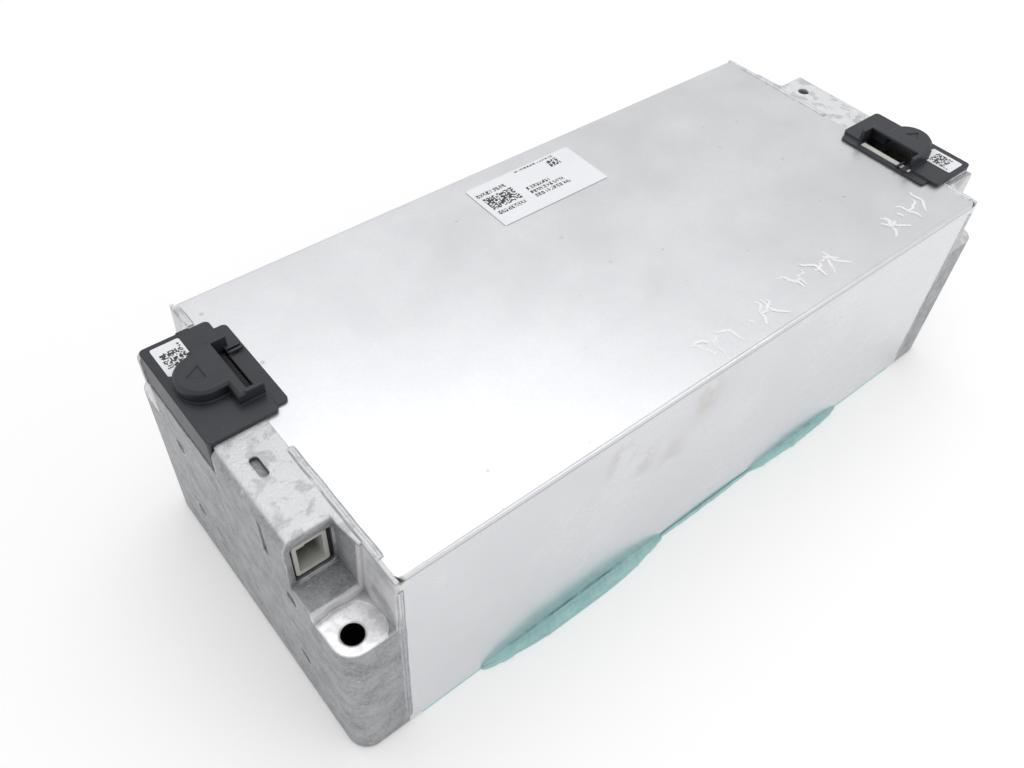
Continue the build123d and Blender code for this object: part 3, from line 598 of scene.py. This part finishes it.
def chalk_material():
    """Chalk strokes: white where the crayon caught, clear where it skipped."""
    material, build, shader = new_material("chalk")
    grain = build.noise(build.coords(), 1300.0, 4.0, 0.7)
    patch = build.noise(build.coords(), 160.0, 3.0)
    caught = build.band(build.plus(grain, build.times(patch, 0.5)), 0.52, 0.70)
    build.link(build.mix(grain, rgb(0.98, 0.98, 0.99), rgb(1.0, 1.0, 1.0)), shader["Base Color"])
    build.link(build.plus(0.8, build.times(grain, 0.1)), shader["Roughness"])
    build.link(build.times(caught, 0.85), shader["Alpha"])
    build.link(bump(build, grain, 0.3, 0.0002), shader["Normal"])
    return material


def circuit_board():
    """Green solder mask with faint tracks."""
    material, build, shader = new_material("circuit_board")
    tracks = build.add("ShaderNodeTexWave", Scale=500.0, Distortion=2.0)
    build.link(build.coords((1, 0, 1)), tracks.inputs["Vector"])
    mask = build.band(tracks.outputs["Fac"], 0.6, 0.8)
    build.link(build.mix(mask, rgb(0.02, 0.14, 0.06), rgb(0.04, 0.24, 0.11)), shader["Base Color"])
    build.link(build.plus(0.35, build.times(mask, 0.1)), shader["Roughness"])
    build.link(bump(build, mask, 0.2, 0.0001), shader["Normal"])
    return material


def amber_film():
    """Polyimide flex with copper lines under it."""
    material, build, shader = new_material("amber_film")
    lines = build.add("ShaderNodeTexWave", Scale=260.0, bands_direction="Y")
    build.link(build.coords(), lines.inputs["Vector"])
    mask = build.band(lines.outputs["Fac"], 0.55, 0.75)
    build.link(build.mix(mask, rgb(0.42, 0.20, 0.04), rgb(0.62, 0.36, 0.12)), shader["Base Color"])
    build.link(build.plus(0.3, build.times(mask, 0.1)), shader["Roughness"])
    build.link(bump(build, mask, 0.2, 0.0001), shader["Normal"])
    return material


MATERIALS = {
    "cover_sheet": sheet_aluminium("cover_sheet", rgb(0.86, 0.865, 0.885), True),
    "base_sheet": sheet_aluminium("base_sheet", rgb(0.80, 0.805, 0.82), False),
    "casting": cast_aluminium(),
    "black_plastic": moulded_plastic("black_plastic", rgb(0.019, 0.021, 0.028), 0.34,
                                     soft_edge=0.0009),
    "cream_plastic": socket_plastic(),
    "seal_rubber": moulded_plastic("seal_rubber", rgb(0.012, 0.012, 0.013), 0.6, 1500.0),
    "filler": soft_filler(),
    # tinned copper, its tone darkened below its own as painted shade for the terminals in the
    # covers
    "copper": plated_metal("shaded_tinned_copper", rgb(0.40, 0.38, 0.34), 0.34),
    "nut_steel": plated_metal("zinc_steel", rgb(0.66, 0.66, 0.66), 0.3),
    "pin_metal": plated_metal("pin_plating", rgb(0.85, 0.74, 0.45), 0.2),
    "pouch_film": pouch_film(),
    "fin_aluminium": plated_metal("fin_aluminium", rgb(0.80, 0.81, 0.82), 0.3),
    "foam": foam_material(),
    "adhesive": moulded_plastic("thermal_adhesive", rgb(0.36, 0.42, 0.48), 0.6, 600.0),
    "film": moulded_plastic("insulating_film", rgb(0.78, 0.73, 0.52), 0.25, 400.0),
    "frame_plastic": moulded_plastic("frame_plastic", rgb(0.66, 0.65, 0.58), 0.45),
    "board": circuit_board(),
    "flex_film": amber_film(),
    "label_paper": label_film(),
}
# painted shade: near-black plastic for the terminal holders, for the shade inside the covers
SHADED_HOLDER = moulded_plastic("shaded_holder_plastic", rgb(0.030, 0.029, 0.028), 0.5)


def dress_nodes():
    """Every CAD node gets its material by the record's slot; the holders get a near-black
    plastic instead, painted shade for their insides.
    """
    for part in frame["record"]["subparts"]:
        node = frame["nodes"][part["node"]]
        material = MATERIALS[part["material_slot"]]
        if part["node"].startswith("terminal_holder"):
            material = SHADED_HOLDER
        node.data.materials.clear()
        node.data.materials.append(material)


dress_nodes()


# ---------------------------------------------------------------- mesh helpers

def surface(name, points, material, closed=False):
    """Mesh from an (n, m, 3) grid of points; closed joins each row's end to its start."""
    n, m = points.shape[:2]
    i, j = np.meshgrid(np.arange(n - 1), np.arange(m if closed else m - 1), indexing="ij")
    right = (j + 1) % m
    corners = [i * m + j, (i + 1) * m + j, (i + 1) * m + right, i * m + right]
    quads = np.stack(corners, axis=-1).reshape(-1, 4)
    return mesh_piece(name, points.reshape(-1, 3), quads, material)


def signed_power(value, exponent):
    """sign(value) |value|^exponent, which squares off or sharpens a round section."""
    return np.sign(value) * np.abs(value) ** exponent


def mesh_piece(name, vertices, faces, material, smooth=True):
    """Object from vertices and faces, riding on the root body."""
    mesh = bpy.data.meshes.new(name)
    mesh.from_pydata(vertices.tolist(), [], faces.tolist())
    mesh.polygons.foreach_set("use_smooth", np.full(len(mesh.polygons), smooth))
    mesh.materials.append(material)
    mesh.update()
    piece = bpy.data.objects.new(name, mesh)
    bpy.context.scene.collection.objects.link(piece)
    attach(piece, "root")
    return piece


# ---------------------------------------------------------------- weld seams

def weld_seam_metal():
    """Laser-welded seam: blue-grey oxide bands along it and fine ripples across."""
    material, build, shader = new_material("weld_seam")
    cloud = use(build, "cloud", "Mask", Scale=220.0, Contrast=2.0)
    fine = build.noise(build.coords(), 1800.0, 3.0)
    colour = build.mix(cloud, rgb(0.36, 0.38, 0.42), rgb(0.62, 0.64, 0.67))
    colour = build.mix(build.band(fine, 0.55, 0.75), colour, rgb(0.78, 0.79, 0.80))
    out = build.minus(build.math("ABSOLUTE", build.axes()[0]), end)
    stripe = build.math("SINE", build.times(out, BEAD_BANDS))
    colour = build.mix(build.band(stripe, 0.2, 0.8), colour, rgb(0.20, 0.22, 0.26))
    build.link(colour, shader["Base Color"])
    build.link(build.plus(0.30, build.times(fine, 0.25)), shader["Roughness"])
    build.value(0.85, shader["Metallic"])
    build.link(bump(build, fine, 0.3, 0.0003), shader["Normal"])
    return material


def weld_seam(name, start, along, across, out, length, bead):
    """Skin of a weld bead W wide and H high. At distance s along it and v in -1..1 across, the
    half-width is w(s) = W/2 sqrt(1 - e^2), with e = how far s is into a round end over W/2, and
    the height is h = H (1 - v^2) (0.72 + 0.28 cos 3 pi v) 2 w / W + ripple, with
    ripple = 0.04 mm sin(2 pi s / 0.9 mm + 2 v^2) (1 - v^2). The bead wanders sideways by
    0.12 mm sin(310 s) sin(97 s + 1), and the skin ends at the part's box."""
    width, height = bead
    s = np.linspace(0.0, length, int(length / (0.22 * MM)))[:, None]
    v = np.linspace(-1.0, 1.0, 17)[None, :]
    half = width / 2
    into = np.clip(np.maximum(half - s, s - (length - half)) / half, 0.0, 1.0)
    w = half * np.sqrt(np.maximum(1.0 - into ** 2, 1e-6))
    hump = (1 - v ** 2) * (0.72 + 0.28 * np.cos(3 * np.pi * v))
    ripple = 0.04 * MM * np.sin(2 * np.pi * s / (0.9 * MM) + 2 * v ** 2) * (1 - v ** 2)
    wander = 0.12 * MM * np.sin(s * 310.0) * np.sin(s * 97.0 + 1.0)
    h = height * hump * (w / half) + ripple
    axes = [np.asarray(a, float) for a in (along, across, out)]
    points = (np.asarray(start, float) + s[..., None] * axes[0]
              + (v * w + wander)[..., None] * axes[1] + h[..., None] * axes[2])
    points = np.clip(points, np.asarray(cad_low), np.asarray(cad_high))
    if np.dot(np.cross(axes[0], axes[1]), axes[2]) < 0:
        points = points[:, ::-1]
    return surface(name, points, WELD)


def add_weld_seams():
    """Seams between the cover and both end plates, half-turned onto the rear end."""
    for end_name, turn in (("front", 1), ("rear", -1)):
        seam, outward, up = turn * end, (turn, 0, 0), (0, 0, 1)
        weld_seam("weld_top_long_" + end_name, (seam, turn * -0.0656, top), (0, turn, 0), outward,
                  up, 54.4 * MM, TOP_BEAD)
        weld_seam("weld_top_short_" + end_name, (seam, turn * 0.0603, top), (0, turn, 0), outward,
                  up, 12.6 * MM, TOP_BEAD)
        for flank in (-1, 1):
            weld_seam(f"weld_side_{end_name}_{flank + 1}", (seam, flank * -side, base + 4.8 * MM),
                      up, outward, (0, flank, 0), 95.0 * MM, SIDE_BEAD)


WELD = weld_seam_metal()
add_weld_seams()


# ---------------------------------------------------------------- squeezed filler

def filler_roll(name, x0, x1, reach, height, seed):
    """Soft roll of filler pressed out along the module's foot. At share t along it and angle a
    round it: y = side - R(t) (1 + c(a)) / 2 and z = H(t) (1 + s(a) (1 - crease - ridge)) / 2,
    never below the ground or past the part's box. c and s are the cosine and sine to the power
    0.7, R(t) = reach sin(pi t)^0.45 f(x) and H(t) = height sin(pi t)^0.3 (2 - f(x)), with f a
    small sum of sines that makes it uneven. The upper half has a crease at c = -0.45 and fine
    ridges, 0.05 sin(1900 x + 3 c)."""
    n, m = 360, 40
    t = np.linspace(0.0, 1.0, n)[:, None]
    a = np.linspace(0.0, 2 * np.pi, m, endpoint=False)[None, :]
    x = x0 + (x1 - x0) * t
    swell = np.sin(np.pi * t)
    lump = (1 + 0.07 * np.sin(260 * x + seed) + 0.05 * np.sin(610 * x + 2 * seed)
            + 0.03 * np.sin(1430 * x + 5 * seed))
    r = reach * np.maximum(swell, 1e-4) ** 0.45 * lump
    h = height * np.maximum(swell, 1e-4) ** 0.30 * (2 - lump)
    c = signed_power(np.cos(a), 0.7)
    s = signed_power(np.sin(a), 0.7)
    crease = 0.16 * np.exp(-((c + 0.45) / 0.16) ** 2) * (s > 0)
    ridge = 0.05 * np.sin(1900 * x + 3 * c) * (s > 0)
    y = np.maximum(side - r * (1 + c) / 2, cad_low[1] + 0.1 * MM)
    z = h * (1 + s * (1 - crease - ridge)) / 2
    points = np.stack([np.broadcast_to(x, y.shape), y, np.maximum(z, 0.0)], axis=-1)
    return surface(name, points[:, ::-1], MATERIALS["filler"], closed=True)


def add_filler():
    """Two long bulges and a thin line of filler between them."""
    filler_roll("filler_roll_near", -0.124, -0.020, 6.0 * MM, 3.4 * MM, 0.4)
    filler_roll("filler_roll_far", 0.039, 0.107, 3.4 * MM, 2.8 * MM, 1.7)
    filler_roll("filler_line", -0.030, 0.046, 1.3 * MM, 2.0 * MM, 2.9)


add_filler()


# ---------------------------------------------------------------- inserts

def pad(name, centre, half, material):
    """Closed cushion: a superellipsoid. At angle a round it and b from pole to pole,
    x = A c(a) c(b), y = B s(a) c(b), z = C s(b), with c and s the cosine and sine to the
    power 0.25, so that its sides are nearly flat; both poles shrink to a point."""
    a = np.linspace(0.0, 2 * np.pi, 64, endpoint=False)[None, :]
    b = np.linspace(-0.5 * np.pi, 0.5 * np.pi, 33)[:, None]
    c, s, e = (signed_power(wave, 0.25) for wave in (np.cos(a), np.sin(a), np.sin(b)))
    round_b = signed_power(np.maximum(np.cos(b), 0.0), 0.25)
    points = np.stack([half[0] * c * round_b, half[1] * s * round_b,
                       half[2] * e * np.ones_like(a)], axis=-1)
    return surface(name, points[::-1] + np.asarray(centre), material, closed=True)


def add_inserts():
    """Grey floor of the vent and a near-black pad in the front terminal cover's window, painted
    shade.
    """
    pad("vent_floor", (*VENT, top - 2.4 * MM), (1.9 * MM, 5.0 * MM, 0.8 * MM),
        MATERIALS["casting"])
    # painted shade: a near-black pad makes the window read as deep shade
    pad("window_shade_pad", (*WINDOW, top - 0.22 * MM), (3.2 * MM, 13.3 * MM, 0.7 * MM),
        SHADE)


SHADE = moulded_plastic("shaded_plastic", rgb(0.004, 0.004, 0.005), 0.7, dust=0.0)
add_inserts()


# ---------------------------------------------------------------- print on the labels

def printed_cells(name, corner, u_axis, v_axis, cell, chosen, z):
    """Flat ink cells on a label: cell (i, j) has its corner at corner + i u + j v, and only
    the chosen ones are there; u and v are unit steps of a cell's width and height."""
    i, j = np.nonzero(chosen)
    u = np.asarray(u_axis, float) * cell[0]
    v = np.asarray(v_axis, float) * cell[1]
    low = np.asarray(corner, float) + i[:, None] * u + j[:, None] * v
    quad = np.stack([low, low + u, low + u + v, low + v], axis=1)
    flat = quad.reshape(-1, 2)
    vertices = np.column_stack([flat, np.full(len(flat), z)])
    faces = np.arange(len(vertices)).reshape(-1, 4)
    if u[0] * v[1] - u[1] * v[0] < 0:
        faces = faces[:, ::-1]
    return mesh_piece(name, vertices, faces, INK, smooth=False)


def hashed(columns, rows, seed, share):
    """Grid of yes and no from fract(43758.5453 sin(12.9898 i + 78.233 j + seed)) < share."""
    i, j = np.meshgrid(np.arange(columns), np.arange(rows), indexing="ij")
    value = 43758.5453 * np.sin(12.9898 * i + 78.233 * j + seed)
    return value - np.floor(value) < share


def greeked_line(name, corner, u_axis, v_axis, length, height, seed, z):
    """One line of print shown as plain blocks: every fifth column is a gap between letters,
    and two columns of 29 are a gap between words."""
    cell = (0.36 * MM, height / 5)
    columns = np.arange(int(length / cell[0]))
    rows = hashed(len(columns), 5, seed, 0.62)
    letters = columns % 5 == 4
    words = (columns + int(seed * 7)) % 29 > 26
    rows[letters | words, :] = False
    return printed_cells(name, corner, u_axis, v_axis, cell, rows, z)


def add_label_print():
    """Generic block pattern and greeked lines on the cover's label."""
    z = label_high[2] + PRINT_LIFT
    u, v = (1.0, 0.0), (0.0, -1.0)
    x0, y0 = label_low[0], label_high[1]
    field = hashed(26, 14, 0.3, 0.55)
    printed_cells("label_block", (x0 + 2.9 * MM, y0 - 9.0 * MM), u, v,
                  (0.62 * MM, 0.62 * MM), field, z)
    small = hashed(11, 9, 2.1, 0.62)
    printed_cells("label_block_small", (x0 + 44.0 * MM, y0 - 3.2 * MM), u, v,
                  (0.55 * MM, 0.55 * MM), small, z)
    lines = ((1.9, 5.2, 16.5, 2.3), (3.2, 19.3, 15.5, 2.3), (24.0, 13.2, 13.0, 2.1),
             (24.0, 16.3, 20.0, 2.1), (24.0, 19.3, 20.5, 2.1), (27.2, 1.0, 23.0, 1.1))
    for index, (dx, dy, length, height) in enumerate(lines):
        greeked_line(f"label_line_{index + 1}", (x0 + dx * MM, y0 - dy * MM), u, v,
                     length * MM, height * MM, 1.3 * index + 0.7, z)


def add_tag_print():
    """Block pattern and one greeked line on both terminal tags."""
    z = tag_high[2] + PRINT_LIFT
    for end_name, turn in (("front", 1), ("rear", -1)):
        field = hashed(15, 15, 0.9 + turn, 0.56)
        corner = (turn * (tag_low[0] + 1.6 * MM), turn * (tag_high[1] - 4.2 * MM))
        printed_cells("tag_block_" + end_name, corner, (turn, 0), (0, -turn),
                      (0.55 * MM, 0.55 * MM), field, z)
        greeked_line("tag_line_" + end_name,
                     (turn * (tag_high[0] - 1.0 * MM), turn * (tag_high[1] - 1.6 * MM)),
                     (0, -turn), (-turn, 0), 9.0 * MM, 1.0 * MM, 4.1, z)


INK = print_ink()
add_label_print()
add_tag_print()


# ---------------------------------------------------------------- chalk marks

def chalk_stroke(name, centre, size, slant, bend, hook, lift):
    """Crayon stroke on the cover's top: p(t) = centre + R(slant) (bend sin(pi t) +
    hook t sin(3 pi t), size (t - 1/2)), t in 0..1, as a ribbon 1.4 mm (0.6 + 0.4 sin(pi t))
    wide, lifted off the sheet."""
    t = np.linspace(0.0, 1.0, 60)
    local = np.stack([bend * np.sin(np.pi * t) + hook * np.sin(3 * np.pi * t) * t,
                      size * (t - 0.5)], axis=-1)
    turn = math.radians(slant)
    rotate = np.array([[math.cos(turn), -math.sin(turn)], [math.sin(turn), math.cos(turn)]])
    path = local @ rotate.T + np.asarray(centre)
    step = np.gradient(path, axis=0)
    normal = np.stack([-step[:, 1], step[:, 0]], axis=-1)
    normal /= np.linalg.norm(normal, axis=1, keepdims=True)
    half = 0.70 * MM * (0.6 + 0.4 * np.sin(np.pi * t))[:, None]
    across = np.linspace(-1.0, 1.0, 5)
    flat = path[:, None, :] + (half * normal)[:, None, :] * across[None, :, None]
    points = np.concatenate([flat, np.full(flat.shape[:2] + (1,), top + lift)], axis=-1)
    return surface(name, points[:, ::-1], CHALK)


def add_chalk():
    """Four loose groups of strokes near the long edge; they spell nothing. Strokes that cross
    differ in lift, so that no two lie in one plane."""
    strokes = ((-0.012, -0.0655, 12, 24, 2.0, 0.8), (-0.004, -0.0660, 10, -20, -1.5, 1.0),
               (0.002, -0.0650, 12, 30, 2.5, -1.0), (0.022, -0.0640, 13, -28, 1.0, 1.4),
               (0.030, -0.0650, 13, 22, -2.2, 0.9), (0.046, -0.0600, 11, 30, 2.2, 1.2),
               (0.053, -0.0610, 9, -35, -1.6, 1.4), (0.060, -0.0600, 12, 18, 2.4, -1.2),
               (0.068, -0.0620, 11, -24, 1.5, 0.8), (0.075, -0.0610, 13, 26, -2.0, 0.7),
               (0.110, -0.0620, 13, -22, 2.6, 1.2), (0.117, -0.0620, 12, 28, -2.4, 1.0),
               (0.127, -0.0610, 12, 20, 1.2, 1.3), (0.137, -0.0590, 14, -26, 1.8, -1.2),
               (-0.010, -0.0620, 6, 70, 1.8, 0.4), (0.026, -0.0625, 9, -62, 1.6, 0.9),
               (0.015, -0.0650, 3, 30, 0.5, 0.2), (0.049, -0.0590, 7, 75, -1.4, 0.6),
               (0.063, -0.0595, 6, -70, 1.6, 0.5), (0.071, -0.0600, 9, 65, 1.2, -0.8),
               (0.113, -0.0600, 8, 72, -2.0, 0.6), (0.122, -0.0600, 3, 10, 0.4, 0.2),
               (0.132, -0.0585, 9, -66, 1.4, 0.8))
    for index, (x, y, size, slant, bend, hook) in enumerate(strokes):
        chalk_stroke(f"chalk_{index + 1:02d}", (x, y), size * MM, slant, bend * MM, hook * MM,
                     (0.05 + 0.02 * (index % 8 + index // 14)) * MM)


CHALK = chalk_material()
add_chalk()


# ---------------------------------------------------------------- stage and light

def add_stage():
    """White table under the module, a little brighter to the eye than its own light makes it;
    it keeps the soft contact shadow."""
    material, build, _ = new_material("floor_white", Base_Color=rgb(0.84, 0.84, 0.84),
                                      Roughness=0.9)
    rays = build.add("ShaderNodeLightPath").outputs
    seen = build.plus(build.times(rays["Is Camera Ray"], 0.22),
                      build.times(rays["Is Glossy Ray"], 0.13))
    seen = build.plus(seen, build.times(rays["Is Transmission Ray"], 0.22))
    glow = build.add("ShaderNodeEmission")
    build.link(seen, glow.inputs["Strength"])
    both = build.add("ShaderNodeAddShader")
    nodes = build.tree.nodes
    build.link(nodes["Principled BSDF"].outputs[0], both.inputs[0])
    build.link(glow.outputs[0], both.inputs[1])
    build.link(both.outputs[0], nodes["Material Output"].inputs["Surface"])
    half = 12.0
    corners = np.array([(-half, -half, 0), (half, -half, 0), (half, half, 0), (-half, half, 0)])
    mesh = bpy.data.meshes.new("floor")
    mesh.from_pydata(corners.tolist(), [], [(0, 1, 2, 3)])
    mesh.materials.append(material)
    floor = bpy.data.objects.new("floor", mesh)
    bpy.context.scene.collection.objects.link(floor)


def add_world():
    """Even pale tent all round."""
    world = bpy.data.worlds.new("tent")
    bpy.context.scene.world = world
    world.use_nodes = True
    back = world.node_tree.nodes["Background"]
    back.inputs["Strength"].default_value = 0.72
    back.inputs["Color"].default_value = rgb(1.0, 1.0, 1.0)


def add_panel(name, aim, azimuth, elevation, distance, size, radiance):
    """Soft rectangular lamp of an even radiance, in a direction given in degrees."""
    a, e = math.radians(azimuth), math.radians(elevation)
    away = Vector((math.cos(a) * math.cos(e), math.sin(a) * math.cos(e), math.sin(e)))
    data = bpy.data.lights.new(name, "AREA")
    data.shape = "RECTANGLE"
    data.size, data.size_y = size
    data.energy = radiance * math.pi * size[0] * size[1]
    lamp = bpy.data.objects.new(name, data)
    lamp.location = Vector(aim) + distance * away
    lamp.rotation_euler = (-away).to_track_quat("-Z", "Y").to_euler()
    bpy.context.scene.collection.objects.link(lamp)


def add_lights():
    """Window panel behind the near end, a panel overhead and a low one for the folds."""
    add_panel("window", (-0.05, -0.05, 0.1), 50.0, 62.5, 1.7, (1.3, 0.80), 1.06)
    add_panel("overhead", (0.0, 0.0, 0.1), 225.0, 86.0, 1.4, (1.1, 1.1), 0.90)
    add_panel("edge", (0.0, 0.0, 0.1), -59.0, 29.0, 1.7, (1.1, 0.35), 1.7)


add_stage()
add_world()
add_lights()

bpy.context.scene.view_settings.view_transform = "Standard"
